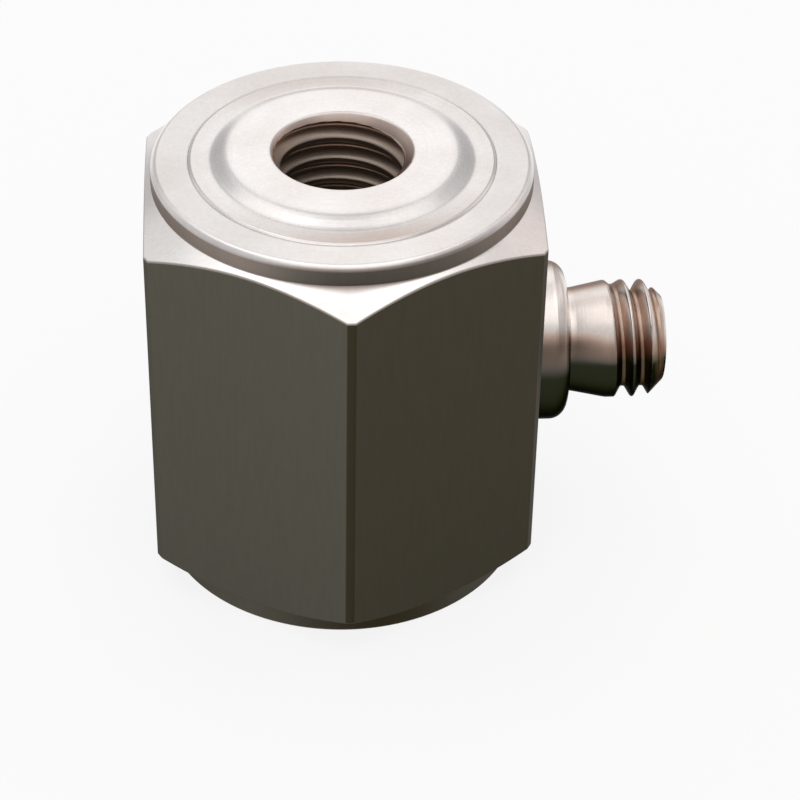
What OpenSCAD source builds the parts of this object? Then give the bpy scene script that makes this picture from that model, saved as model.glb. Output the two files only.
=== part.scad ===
// Hexagonal quartz force sensor with a coaxial jack on one flat.
// The origin is the centre of the resting face of the foot, on the load axis.
// +Z runs up the load axis to the load cap, and +X runs out through the jack.

/* [Hexagon body] */
// Width across the flats
across_flats = 16; // [15.5:0.1:19]
// Height of a flat at its middle, between the two bevels
flat_h = 16.7; // [16:0.1:20]
// Slope of the two turned bevels
bevel_angle = 30; // [20:1:35]
// How far the sharp corners of the hexagon are turned down
corner_cut = 0.1; // [0.02:0.01:0.3]
// Diameter of the round foot
foot_d = 15.7; // [14.5:0.1:15.8]
// Height of the flats above the resting face
foot_h = 1.0; // [0.6:0.1:2]
// Diameter of the round collar that holds the load cap
collar_d = 15.5; // [14.5:0.1:15.8]
// Height of the collar's rim above the top of the flats
collar_h = 1.0; // [0.9:0.1:2]
// Edge bevel of the collar and the foot
turned_edge = 0.15; // [0.05:0.01:0.3]

/* [Load cap] */
// Diameter of the cap where it is welded into the collar
cap_d = 12.44; // [12:0.02:13.2]
// Thickness of the cap's welded rim
cap_rim_t = 0.66; // [0.5:0.01:0.8]
// Width of the cap's welded rim
cap_rim_w = 0.55; // [0.4:0.01:0.7]
// How far the cap's face stands above the collar's rim
cap_proud = 0.06; // [0.02:0.01:0.15]
// Thickness of the flexing diaphragm around the boss
diaphragm_t = 0.36; // [0.2:0.01:0.45]
// Diameter of the boss at its foot
boss_base_d = 10.7; // [9.8:0.1:11.2]
// Diameter of the boss at its loaded face
boss_top_d = 9.25; // [8:0.05:9.6]
// Height of the boss above the cap's face
boss_h = 0.3; // [0.1:0.01:0.6]
// Diameter of the stem that presses on the quartz
stem_d = 8.1; // [7.2:0.1:8.6]

/* [Mounting threads] */
// Nominal diameter of the two mounting threads
mount_thread_d = 6; // [5:0.5:6]
// Pitch of the two mounting threads
mount_pitch = 1; // [0.8:0.1:1]
// Depth of the hole in the foot
base_hole_depth = 4.6; // [3.8:0.1:5.4]
// Diameter of the bevelled mouth of each mounting hole
hole_mouth_d = 5.8; // [5.6:0.05:6.2]
// Metal left between each mounting hole and the stud's hole
hole_web = 0.6; // [0.4:0.05:0.8]

/* [Quartz stack] */
// Outer diameter of the rings in the stack
ring_od = 9; // [8.2:0.1:9.4]
// Diameter of the bore through the rings in the stack
ring_bore_d = 4; // [3.8:0.1:4.6]
// Thickness of each quartz ring
quartz_t = 1.0; // [0.8:0.05:1.2]
// Thickness of each steel pressure ring
pressure_ring_t = 0.65; // [0.5:0.05:0.9]
// Thickness of the signal electrode
electrode_t = 0.2; // [0.1:0.05:0.3]
// Width of the electrode's solder tab
tab_w = 1.1; // [0.8:0.1:1.4]
// Metal left around the lead's hole in the tab
tab_rim = 0.15; // [0.1:0.05:0.25]
// Wall of the insulating sleeve around the stack
sleeve_wall = 0.2; // [0.1:0.05:0.25]
// How far the insulating sleeve reaches down the pedestal
sleeve_skirt = 0.6; // [0.3:0.1:1]

/* [Preload stud] */
// Diameter of the stud's threaded ends
stud_d = 3; // [2.5:0.1:3.2]
// Diameter of the stud's elastic waist
stud_waist_d = 2.5; // [2:0.1:2.5]
// Depth of the stud's hole in the body and in the cap
stud_grip = 2.6; // [2.2:0.1:3]
// Room left past each end of the stud
stud_tip_gap = 0.1; // [0.05:0.05:0.3]
// Length of the bevel on each end of the stud
stud_tip_bevel = 0.25; // [0.1:0.05:0.4]

/* [Amplifier] */
// Thickness of the ring-shaped circuit board
board_t = 0.6; // [0.4:0.1:0.8]
// Metal between the jack's port and the ledge that carries the board
board_lift = 1.4; // [1.2:0.1:2.4]
// Diameter of the insulated leads
lead_d = 0.3; // [0.2:0.05:0.35]
// Width of the transistor's case, across the ring
transistor_w = 1.1; // [0.8:0.1:1.2]
// Length of the transistor's case, along the ring
transistor_l = 1.9; // [1.4:0.1:2]
// Height of the transistor's case
transistor_h = 0.8; // [0.5:0.1:1]
// Width of a chip resistor
resistor_w = 0.5; // [0.3:0.1:0.8]
// Length of a chip resistor
resistor_l = 1.0; // [0.6:0.1:1.6]
// Height of a chip resistor
resistor_h = 0.35; // [0.2:0.05:0.5]
// Width of the chip capacitor
capacitor_w = 0.8; // [0.5:0.1:1]
// Length of the chip capacitor
capacitor_l = 1.6; // [1:0.1:1.8]
// Height of the chip capacitor
capacitor_h = 0.8; // [0.5:0.1:1]

/* [Coaxial jack] */
// Diameter of the jack's flange
flange_d = 6.75; // [6.2:0.05:7.6]
// Thickness of the flange up to its rounded shoulder
flange_t = 0.75; // [0.7:0.05:1.2]
// Radius of the flange's rounded shoulder
shoulder_r = 0.7; // [0.3:0.05:0.7]
// Diameter of the neck behind the thread
neck_d = 4.4; // [4:0.1:4.8]
// Length of the straight part of the neck
neck_len = 0.5; // [0.3:0.1:1.5]
// Length of the flare from the neck to the thread
flare_len = 1.2; // [0.6:0.1:2]
// Nominal diameter of the jack's thread
jack_thread_d = 5; // [4.8:0.1:6]
// Length of the threaded barrel
barrel_len = 1.75; // [1.5:0.05:4]
// Length of the bevel at the jack's open end
nose_bevel = 0.6; // [0.3:0.05:0.6]
// Length of the rounded lip past the bevel
nose_lip = 0.1; // [0.05:0.05:0.2]
// Diameter of the spigot that is welded into the body
spigot_d = 4.5; // [4:0.1:5]
// Diameter of the open socket in the jack
socket_d = 3.1; // [3:0.05:3.2]
// Depth of the open socket
socket_depth = 1.6; // [1.2:0.1:2]
// Diameter of the plastic insulator
insulator_d = 2.6; // [2.4:0.05:2.6]
// Diameter of the glass seal
glass_d = 2.2; // [1.8:0.1:2.3]
// Length of the glass seal
glass_len = 1.9; // [1.2:0.1:2]
// Diameter of the contact inside the insulator
contact_d = 0.9; // [0.8:0.05:1.1]
// Diameter of the contact's tail in the glass seal
tail_d = 0.5; // [0.4:0.05:0.6]
// Diameter of the hole in the contact for the plug's pin
pin_hole_d = 0.5; // [0.4:0.05:0.55]
// Width of the two crossing slots in the contact
contact_slot = 0.12; // [0.08:0.01:0.15]

/* [Hidden] */
$fn = 96;

// Radial room between pieces that seat in each other
seat_gap = 0.02;
// How far a cutting shape reaches past the face that it opens
over = 1;

// Body
flat_r = across_flats / 2;
bevel_rise = tan(bevel_angle);
corner_r = flat_r / cos(30) - corner_cut;
foot_r = foot_d / 2;
collar_r = collar_d / 2;
shoulder_z = foot_h + flat_h;
rim_z = shoulder_z + collar_h;
jack_z = foot_h + flat_h / 2;

// Mounting threads: the solids carry the tapping holes
tap_r = (mount_thread_d - mount_pitch) / 2;
mouth_r = hole_mouth_d / 2;
mouth_depth = mouth_r - tap_r;

// Load cap
cap_r = cap_d / 2;
cap_face_z = rim_z + cap_proud;
cap_seat_z = cap_face_z - cap_rim_t;
diaphragm_z = cap_face_z - diaphragm_t;
rim_inner_r = cap_r - cap_rim_w;
top_z = cap_face_z + boss_h;
stem_r = stem_d / 2;

// Quartz stack, piled up from the pedestal
ring_r = ring_od / 2;
stack_z = base_hole_depth + hole_web + stud_grip;
lower_quartz_z = stack_z + pressure_ring_t;
electrode_z = lower_quartz_z + quartz_t;
upper_quartz_z = electrode_z + electrode_t;
upper_ring_z = upper_quartz_z + quartz_t;
stack_top_z = upper_ring_z + pressure_ring_t;
load_hole_z = stack_top_z + stud_grip + hole_web;
sleeve_r = ring_r + seat_gap + sleeve_wall;
sleeve_short = 0.1;

// Leads stand in the gap between the sleeve and the lower bore, which also clears the tab
lead_gap = 0.06;
tab_root = 0.5;
lead_r = lead_d / 2;
lead_ring_r = sleeve_r + lead_gap + lead_r;
lead_stub = 0.3;
tab_r = lead_ring_r + lead_r + seat_gap + tab_rim;
tab_gap = 0.15;
bore_gap = 0.2;
stack_bore_r = tab_r + bore_gap;

// Side port for the jack's spigot
spigot_r = spigot_d / 2;
port_r = spigot_r + seat_gap;
port_x = sqrt(pow(stack_bore_r, 2) - pow(port_r, 2)) - bore_gap;

// Cavity: above the bore round the stack, a wider one carries the board on a ledge
weld_land = 0.32;
floor_drop = 0.8;
stem_gap = 0.2;
board_gap = 0.05;
board_bore_r = cap_r - weld_land;
floor_z = stack_z - sleeve_skirt - floor_drop;
board_z = jack_z + port_r + board_lift;
board_top_z = board_z + board_t;
board_inner_r = stem_r + stem_gap;
board_outer_r = board_bore_r - board_gap;
elbow_r = 0.4;
electrode_lead_angle = 180;
ground_lead_angle = 270;

// Places of the chips round the board
transistor_angle = 90;
gate_resistor_angle = 150;
bias_resistor_angle = 35;
range_capacitor_angle = 225;
chip_ring_r = (board_inner_r + board_bore_r) / 2;

// Jack, with lengths counted from the flat that it is welded to
flange_r = flange_d / 2;
neck_r = neck_d / 2;
jack_r = jack_thread_d / 2;
shoulder_x = flange_t + shoulder_r;
neck_x = shoulder_x + neck_len;
flare_x = neck_x + flare_len;
barrel_x = flare_x + barrel_len;
bevel_x = barrel_x + nose_bevel;
jack_len = bevel_x + nose_lip;
lip_r = jack_r - nose_bevel;
spigot_recess = 0.3;
spigot_len = flat_r - stack_bore_r - spigot_recess;
socket_x = jack_len - socket_depth;
insulator_bore_r = insulator_d / 2 + seat_gap;
insulator_x = glass_len - spigot_len;
glass_bore_r = glass_d / 2 + seat_gap;
tail_out = 0.3;
pin_hole_depth = 1.4;
slot_depth = 1.1;

steel = [0.74, 0.71, 0.69];
bright_steel = [0.86, 0.84, 0.83];
quartz_tint = [0.82, 0.88, 0.92];
copper_alloy = [0.76, 0.52, 0.30];
gold_plate = [0.86, 0.70, 0.34];
white_plastic = [0.93, 0.93, 0.90];
amber_film = [0.72, 0.42, 0.12];

// The hexagon bar after turning: foot, two bevels and the collar
module turned_bar() {
    intersection() {
        rotate(30)
            cylinder(r = flat_r / cos(30), h = rim_z, $fn = 6);
        rotate_extrude()
            polygon([
                [0, 0],
                [foot_r - turned_edge, 0],
                [foot_r, turned_edge],
                [foot_r, foot_h + (foot_r - flat_r) * bevel_rise],
                [corner_r, foot_h + (corner_r - flat_r) * bevel_rise],
                [corner_r, shoulder_z - (corner_r - flat_r) * bevel_rise],
                [collar_r, shoulder_z - (collar_r - flat_r) * bevel_rise],
                [collar_r, rim_z - turned_edge],
                [collar_r - turned_edge, rim_z],
                [0, rim_z]
            ]);
    }
}

// A tapping hole with a bevelled mouth, opening upwards at z = 0
module mounting_hole(depth) {
    translate([0, 0, -depth])
        cylinder(r = tap_r, h = depth + over);
    translate([0, 0, -mouth_depth])
        cylinder(r1 = tap_r, r2 = mouth_r + over, h = mouth_depth + over);
}

module hex_housing() {
    color(steel)
        difference() {
            turned_bar();
            rotate_extrude()
                polygon([
                    [0, stack_z],
                    [ring_r, stack_z],
                    [ring_r, floor_z],
                    [stack_bore_r, floor_z],
                    [stack_bore_r, board_z],
                    [board_bore_r, board_z],
                    [board_bore_r, cap_seat_z],
                    [cap_r + seat_gap, cap_seat_z],
                    [cap_r + seat_gap, rim_z + over],
                    [0, rim_z + over]
                ]);
            mirror([0, 0, 1])
                mounting_hole(base_hole_depth);
            translate([0, 0, stack_z - stud_grip])
                cylinder(r = stud_d / 2 + seat_gap, h = stud_grip + over);
            translate([port_x, 0, jack_z])
                rotate([0, 90, 0])
                    cylinder(r = port_r, h = flat_r);
        }
}

module load_cap() {
    color(bright_steel)
        difference() {
            rotate_extrude()
                polygon([
                    [0, stack_top_z],
                    [stem_r, stack_top_z],
                    [stem_r, diaphragm_z],
                    [rim_inner_r, diaphragm_z],
                    [rim_inner_r, cap_seat_z],
                    [cap_r, cap_seat_z],
                    [cap_r, rim_z],
                    [cap_r - cap_proud, cap_face_z],
                    [boss_base_d / 2, cap_face_z],
                    [boss_top_d / 2, top_z],
                    [0, top_z]
                ]);
            translate([0, 0, top_z])
                mounting_hole(top_z - load_hole_z);
            translate([0, 0, stack_top_z - over])
                cylinder(r = stud_d / 2 + seat_gap, h = stud_grip + over);
        }
}

module preload_stud() {
    low = stack_z - stud_grip + stud_tip_gap;
    high = stack_top_z + stud_grip - stud_tip_gap;
    end_r = stud_d / 2;
    waist_r = stud_waist_d / 2;
    taper = end_r - waist_r;
    color(copper_alloy)
        rotate_extrude()
            polygon([
                [0, low],
                [end_r - stud_tip_bevel, low],
                [end_r, low + stud_tip_bevel],
                [end_r, stack_z],
                [waist_r, stack_z + taper],
                [waist_r, stack_top_z - taper],
                [end_r, stack_top_z],
                [end_r, high - stud_tip_bevel],
                [end_r - stud_tip_bevel, high],
                [0, high]
            ]);
}

// A flat ring with square edges
module flat_ring(outer_r, inner_r, low_z, thick) {
    translate([0, 0, low_z])
        difference() {
            cylinder(r = outer_r, h = thick);
            translate([0, 0, -over])
                cylinder(r = inner_r, h = thick + 2 * over);
        }
}

module centring_sleeve() {
    color(white_plastic)
        flat_ring(ring_bore_d / 2 - seat_gap, stud_d / 2 + seat_gap, stack_z,
            stack_top_z - stack_z - sleeve_short);
}

module lower_pressure_ring() {
    color(steel)
        flat_ring(ring_r, ring_bore_d / 2, stack_z, pressure_ring_t);
}

module lower_quartz_ring() {
    color(quartz_tint)
        flat_ring(ring_r, ring_bore_d / 2, lower_quartz_z, quartz_t);
}

module upper_quartz_ring() {
    color(quartz_tint)
        flat_ring(ring_r, ring_bore_d / 2, upper_quartz_z, quartz_t);
}

module upper_pressure_ring() {
    color(steel)
        flat_ring(ring_r, ring_bore_d / 2, upper_ring_z, pressure_ring_t);
}

// The electrode's tab reaches out through a slot in the sleeve
module electrode_tab(width, reach, low_z, thick) {
    root_r = ring_bore_d / 2 + tab_root;
    rotate(electrode_lead_angle)
        translate([root_r, -width / 2, low_z])
            cube([reach - root_r, width, thick]);
}

module signal_electrode() {
    color(gold_plate)
        difference() {
            union() {
                flat_ring(ring_r, ring_bore_d / 2, electrode_z, electrode_t);
                electrode_tab(tab_w, tab_r, electrode_z, electrode_t);
            }
            lead_at(electrode_lead_angle, lead_r + seat_gap, electrode_z - over, electrode_t + 2 * over);
        }
}

module insulating_sleeve() {
    slot_w = tab_w + 2 * tab_gap;
    color(amber_film)
        difference() {
            flat_ring(sleeve_r, ring_r + seat_gap, stack_z - sleeve_skirt,
                stack_top_z - stack_z + sleeve_skirt);
            electrode_tab(slot_w, sleeve_r + over, electrode_z - tab_gap, electrode_t + 2 * tab_gap);
        }
}

// An upright round bar in the gap beside the stack
module lead_at(angle, r, low_z, length) {
    rotate(angle)
        translate([lead_ring_r, 0, low_z])
            cylinder(r = r, h = length);
}

module electrode_lead() {
    low = electrode_z - lead_stub;
    color(copper_alloy)
        lead_at(electrode_lead_angle, lead_r, low, board_top_z + lead_stub - low);
}

module ground_lead() {
    color(copper_alloy)
        lead_at(ground_lead_angle, lead_r, floor_z, board_top_z + lead_stub - floor_z);
}

// The output lead comes down from the board and turns out to the contact's tail
module output_lead() {
    elbow_x = lead_ring_r + elbow_r;
    tail_x = flat_r - spigot_len - tail_out;
    color(copper_alloy) {
        lead_at(0, lead_r, jack_z + elbow_r, board_top_z + lead_stub - jack_z - elbow_r);
        translate([elbow_x, 0, jack_z + elbow_r])
            rotate([90, 0, 0])
                rotate([0, 0, 180])
                    rotate_extrude(angle = 90)
                        translate([elbow_r, 0])
                            circle(r = lead_r);
        translate([elbow_x, 0, jack_z])
            rotate([0, 90, 0])
                cylinder(r = lead_r, h = tail_x - elbow_x);
    }
}

module amplifier_board() {
    color("darkgreen")
        difference() {
            flat_ring(board_outer_r, board_inner_r, board_z, board_t);
            for (angle = [0, electrode_lead_angle, ground_lead_angle])
                lead_at(angle, lead_r + seat_gap, board_z - over, board_t + 2 * over);
        }
}

// A chip's place: its width lies along the radius and its length along the ring
module on_board(angle) {
    rotate(angle)
        translate([chip_ring_r, 0, board_top_z])
            children();
}

// A block that stands centred on the board
module chip_block(size, low_z = 0) {
    translate([-size.x / 2, -size.y / 2, low_z])
        cube(size);
}

// A small case on three flat feet, one on the inner side and two on the outer
module transistor() {
    foot = [0.25, 0.3, 0.12];
    color("dimgray")
        on_board(transistor_angle) {
            chip_block([transistor_w, transistor_l, transistor_h - foot.z], foot.z);
            translate([(foot.x - transistor_w) / 2, 0, 0])
                chip_block(foot);
            for (side = [-1, 1])
                translate([(transistor_w - foot.x) / 2, side * transistor_l / 3, 0])
                    chip_block(foot);
        }
}

// A ceramic body between two slightly thicker end caps
module chip_part(size) {
    end_len = size.y / 5;
    step = 0.03;
    chip_block([size.x - 2 * step, size.y - 2 * end_len, size.z - 2 * step], step);
    for (side = [-1, 1])
        translate([0, side * (size.y - end_len) / 2, 0])
            chip_block([size.x, end_len, size.z]);
}

module gate_resistor() {
    color("black")
        on_board(gate_resistor_angle)
            chip_part([resistor_w, resistor_l, resistor_h]);
}

module bias_resistor() {
    color("black")
        on_board(bias_resistor_angle)
            chip_part([resistor_w, resistor_l, resistor_h]);
}

module range_capacitor() {
    color("tan")
        on_board(range_capacitor_angle)
            chip_part([capacitor_w, capacitor_l, capacitor_h]);
}

// Turns a profile of radius and length into a piece on the jack's axis, counted from the flat
module on_jack_axis() {
    translate([flat_r, 0, jack_z])
        rotate([0, 90, 0])
            rotate_extrude()
                children();
}

module jack_shell() {
    lip_edge = 0.1;
    color(bright_steel)
        on_jack_axis()
            difference() {
                union() {
                    polygon([
                        [0, -spigot_len],
                        [spigot_r, -spigot_len],
                        [spigot_r, 0],
                        [flange_r, 0],
                        [flange_r, flange_t],
                        [flange_r - shoulder_r, shoulder_x],
                        [neck_r, shoulder_x],
                        [neck_r, neck_x],
                        [jack_r, flare_x],
                        [jack_r, barrel_x],
                        [lip_r, bevel_x],
                        [lip_r - nose_lip, jack_len],
                        [0, jack_len]
                    ]);
                    intersection() {
                        translate([flange_r - shoulder_r, flange_t])
                            circle(r = shoulder_r);
                        square([flange_r, shoulder_x]);
                    }
                }
                translate([0, -spigot_len - over])
                    square([glass_bore_r, glass_len + over]);
                translate([0, insulator_x])
                    square([insulator_bore_r, socket_x - insulator_x + over]);
                polygon([
                    [0, socket_x],
                    [socket_d / 2, socket_x],
                    [socket_d / 2, jack_len - lip_edge],
                    [socket_d / 2 + lip_edge + over, jack_len + over],
                    [0, jack_len + over]
                ]);
            }
}

module glass_seal() {
    color([0.16, 0.30, 0.42])
        on_jack_axis()
            translate([tail_d / 2 + seat_gap, -spigot_len])
                square([glass_d / 2 - tail_d / 2 - seat_gap, glass_len]);
}

module jack_insulator() {
    color(white_plastic)
        on_jack_axis()
            translate([contact_d / 2 + seat_gap, insulator_x])
                square([insulator_d / 2 - contact_d / 2 - seat_gap, socket_x - insulator_x]);
}

module jack_contact() {
    color(gold_plate)
        difference() {
            on_jack_axis()
                polygon([
                    [0, -spigot_len - tail_out],
                    [tail_d / 2, -spigot_len - tail_out],
                    [tail_d / 2, insulator_x],
                    [contact_d / 2, insulator_x],
                    [contact_d / 2, socket_x],
                    [pin_hole_d / 2, socket_x],
                    [pin_hole_d / 2, socket_x - pin_hole_depth],
                    [0, socket_x - pin_hole_depth]
                ]);
            for (turn = [0, 90])
                translate([flat_r + socket_x - slot_depth, 0, jack_z])
                    rotate([turn, 0, 0])
                        translate([0, -contact_d, -contact_slot / 2])
                            cube([slot_depth + over, 2 * contact_d, contact_slot]);
        }
}

hex_housing();
load_cap();
preload_stud();
centring_sleeve();
lower_pressure_ring();
lower_quartz_ring();
signal_electrode();
upper_quartz_ring();
upper_pressure_ring();
insulating_sleeve();
electrode_lead();
ground_lead();
output_lead();
amplifier_board();
transistor();
gate_resistor();
bias_resistor();
range_capacitor();
jack_shell();
glass_seal();
jack_insulator();
jack_contact();
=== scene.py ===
import bmesh
import bpy
import math
from mathutils import Euler, Matrix, Vector


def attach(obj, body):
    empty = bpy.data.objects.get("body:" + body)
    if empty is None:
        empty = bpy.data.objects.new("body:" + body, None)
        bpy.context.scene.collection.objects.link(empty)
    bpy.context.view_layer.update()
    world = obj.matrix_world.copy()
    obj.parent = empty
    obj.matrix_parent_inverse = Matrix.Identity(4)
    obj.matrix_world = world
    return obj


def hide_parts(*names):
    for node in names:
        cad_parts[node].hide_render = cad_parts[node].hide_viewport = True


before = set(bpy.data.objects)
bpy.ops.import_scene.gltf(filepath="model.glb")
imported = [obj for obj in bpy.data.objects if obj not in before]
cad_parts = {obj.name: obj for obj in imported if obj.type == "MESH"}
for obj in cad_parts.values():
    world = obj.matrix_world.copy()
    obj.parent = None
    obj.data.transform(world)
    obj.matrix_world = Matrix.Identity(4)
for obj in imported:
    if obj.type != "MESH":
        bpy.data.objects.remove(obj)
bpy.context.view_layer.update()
mm = 0.001
jackHeight = 9.35  # of the jack's axis above the foot; sizes are in mm unless a note says otherwise
plain = (1, 1, 1, 1)  # a tint that changes nothing
print("frame loaded:", len(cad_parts), "nodes")


# small helpers for node trees; a value is another node's output or something plain

def put(tree, socket, value):
    if isinstance(value, bpy.types.NodeSocket):
        tree.links.new(value, socket)
    elif value is not None:
        socket.default_value = value


def addNode(tree, kind, inputs=None, **options):
    made = tree.nodes.new(kind)
    for key, value in options.items():
        setattr(made, key, value)
    for key, value in (inputs or {}).items():
        put(tree, made.inputs[key], value)
    return made


def calc(tree, operation, a, b=None, c=None):
    return addNode(tree, "ShaderNodeMath", {0: a, 1: b, 2: c}, operation=operation).outputs[0]


def plus(tree, a, b):
    return calc(tree, "ADD", a, b)


def minus(tree, a, b):
    return calc(tree, "SUBTRACT", a, b)


def times(tree, a, b):
    return calc(tree, "MULTIPLY", a, b)


def remap(tree, value, low, high, toLow=0.0, toHigh=1.0, kind="SMOOTHSTEP"):
    made = addNode(tree, "ShaderNodeMapRange", {"Value": value, "From Min": low, "From Max": high,
                                                "To Min": toLow, "To Max": toHigh}, interpolation_type=kind)
    return made.outputs["Result"]


def slide(tree, value, span, toLow, toHigh):  # the same in a straight line, over a (low, high) pair
    return remap(tree, value, *span, toLow, toHigh, "LINEAR")


def splitOf(tree, vector):
    return addNode(tree, "ShaderNodeSeparateXYZ", {0: vector}).outputs


# materials

def newMaterial(name):
    material = bpy.data.materials.new(name)
    material.use_nodes = True
    tree = material.node_tree
    tree.nodes.clear()
    shader = addNode(tree, "ShaderNodeBsdfPrincipled")
    addNode(tree, "ShaderNodeOutputMaterial", {"Surface": shader.outputs[0]})
    return material, tree, shader


def mixColour(tree, factor, a, b, blend="MIX"):
    made = addNode(tree, "ShaderNodeMix", {0: factor, 6: a, 7: b}, data_type="RGBA", blend_type=blend)
    return made.outputs[2]


def tinted(tree, colour, factor, tint):  # the colour times the tint, by the factor's share
    return mixColour(tree, 1.0, colour, mixColour(tree, factor, plain, tint), "MULTIPLY")


def shaded(tree, colour, value):  # the colour times a grey
    grey = addNode(tree, "ShaderNodeCombineColor", {0: value, 1: value, 2: value}).outputs[0]
    return mixColour(tree, 1.0, colour, grey, "MULTIPLY")


def noiseOf(tree, point, scale, stretch=(1, 1, 1), detail=3.0, rough=0.5):
    moved = addNode(tree, "ShaderNodeMapping", {"Vector": point, "Scale": stretch})
    made = addNode(tree, "ShaderNodeTexNoise", {"Vector": moved.outputs[0], "Scale": scale,
                                                "Detail": detail, "Roughness": rough})
    return made.outputs["Fac"]


def patchNoise(tree, point, scale, stretch=(1, 1, 1)):
    return noiseOf(tree, point, scale, stretch, detail=3.0, rough=0.55)


def grainNoise(tree, point, scale, stretch=(1, 1, 1)):
    return noiseOf(tree, point, scale, stretch, detail=4.0, rough=0.6)


def turningMarks(tree, point, s, weight=1.7):
    # rings round the axis, from one number that grows along the piece's outline
    split = splitOf(tree, point)
    if s["axis"] == "Z":
        first, second, along = split[0], split[1], split[2]
    else:
        first, second, along = split[1], minus(tree, split[2], s["axisHeight"] * mm), split[0]
    radius = calc(tree, "SQRT", plus(tree, times(tree, first, first), times(tree, second, second)))
    outline = plus(tree, radius, times(tree, along, weight))
    made = addNode(tree, "ShaderNodeTexNoise", {"W": outline, "Scale": s["markScale"], "Detail": 2.0,
                                                "Roughness": 0.6}, noise_dimensions="1D")
    return made.outputs["Fac"]


def turnedSteel(name, s):
    # the tone that a piece's node tree stores mixes a dark steel with a bright one; it holds each face's
    # finish and also painted shade and painted highlight
    material, tree, shader = newMaterial(name)
    coords = addNode(tree, "ShaderNodeTexCoord").outputs
    point = coords["Object"]
    tone = addNode(tree, "ShaderNodeAttribute", attribute_name="tone").outputs["Fac"]
    groove = addNode(tree, "ShaderNodeAttribute", attribute_name="groove").outputs["Fac"]
    marks = turningMarks(tree, point, s)
    grain = grainNoise(tree, point, s["grainScale"], s["grainStretch"])
    patches = patchNoise(tree, point, s["patchScale"])

    bright = mixColour(tree, remap(tree, patches, *s["patchRange"]), s["bright"], s["brightWarm"])
    normal = splitOf(tree, coords["Normal"])
    side = plus(tree, times(tree, normal[0], s["darkSide"][0]), times(tree, normal[1], s["darkSide"][1]))
    side = slide(tree, calc(tree, "ABSOLUTE", side), s["sideRange"], 0.0, 1.0)
    sideShade = calc(tree, "POWER", side, s["sidePower"])  # painted shade: flats that face the dark side get a darker, cooler steel
    dark = mixColour(tree, groove, mixColour(tree, sideShade, s["dark"], s["darkShadedSide"]), s["darkRoot"])
    colour = mixColour(tree, tone, dark, bright)
    between = times(tree, remap(tree, tone, *s["tintRise"]), remap(tree, tone, *s["tintFall"], 1.0, 0.0))
    colour = tinted(tree, colour, between, s["midTint"])
    colour = tinted(tree, colour, groove, s["rootTint"])

    speck = slide(tree, grain, s["grainRange"], 1.0 - s["grainTone"], 1.0 + s["grainTone"])
    ring = slide(tree, marks, s["markRange"], 1.0 - s["markTone"], 1.0 + s["markTone"])
    heights = [height * mm for height in s["fallHeights"]]
    fall = slide(tree, splitOf(tree, point)[2], heights, 1.0 - s["fall"], 1.0 + s["fall"])
    put(tree, shader.inputs["Base Color"], shaded(tree, colour, times(tree, times(tree, speck, ring), fall)))

    rough = plus(tree, slide(tree, tone, (0.0, 1.0), s["roughDark"], s["roughBright"]),
                 slide(tree, marks, s["roughRange"], -s["roughVary"], s["roughVary"]))
    put(tree, shader.inputs["Roughness"], rough)
    put(tree, shader.inputs["Metallic"], slide(tree, tone, (0.0, 1.0), s["metallic"], 1.0))
    put(tree, shader.inputs["Specular Tint"], mixColour(tree, tone, s["darkRim"], plain))
    shader.inputs["Specular IOR Level"].default_value = s["specular"]
    shader.inputs["Anisotropic"].default_value = s["anisotropic"]
    around = addNode(tree, "ShaderNodeTangent", direction_type="RADIAL", axis=s["axis"])
    put(tree, shader.inputs["Tangent"], around.outputs[0])
    turned = addNode(tree, "ShaderNodeBump", {"Height": marks, "Strength": s["markBump"],
                                              "Distance": s["bumpDepth"] * mm})
    fine = addNode(tree, "ShaderNodeBump", {"Height": grain, "Strength": s["grainBump"],
                                            "Distance": s["bumpDepth"] * mm, "Normal": turned.outputs[0]})
    put(tree, shader.inputs["Normal"], fine.outputs[0])
    return material


# scales are per metre, and a range is the part of a noise, a tone or a height that gets the whole effect
bodyFinish = {
    "axis": "Z", "axisHeight": 0.0,
    "bright": (0.90, 0.865, 0.845, 1), "brightWarm": (0.84, 0.79, 0.77, 1), "metallic": 0.85,
    "dark": (0.102, 0.0945, 0.0755, 1), "darkShadedSide": (0.035, 0.028, 0.0135, 1),
    "darkRoot": (0.102, 0.0945, 0.0755, 1), "darkRim": (0.4, 0.4, 0.4, 1),
    "darkSide": (0.174, -0.985), "sideRange": (0.70, 1.0), "sidePower": 2.0,
    "midTint": (1.0, 0.88, 0.83, 1), "tintRise": (0.0, 0.2), "tintFall": (0.4, 0.8),
    "rootTint": (0.45, 0.38, 0.33, 1), "fall": 0.07, "fallHeights": (1.0, 17.0),
    "patchScale": 260.0, "patchRange": (0.35, 0.7),
    "markScale": 9000.0, "markRange": (0.25, 0.75), "markTone": 0.03, "markBump": 0.25,
    "grainScale": 5200.0, "grainStretch": (1, 1, 0.12), "grainRange": (0.25, 0.8), "grainTone": 0.05,
    "grainBump": 0.2, "bumpDepth": 0.004, "specular": 0.2, "anisotropic": 0.35,
    "roughBright": 0.28, "roughDark": 0.46, "roughRange": (0.3, 0.7), "roughVary": 0.04}
capFinish = dict(
    bodyFinish, bright=(0.92, 0.885, 0.865, 1), brightWarm=(0.85, 0.80, 0.78, 1), metallic=1.0,
    dark=(0.28, 0.23, 0.19, 1), darkShadedSide=(0.28, 0.23, 0.19, 1), darkRoot=(0.58, 0.47, 0.38, 1),
    rootTint=(0.60, 0.50, 0.43, 1), fall=0.0, grainStretch=(1, 1, 1), roughBright=0.25, roughDark=0.4)
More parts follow.
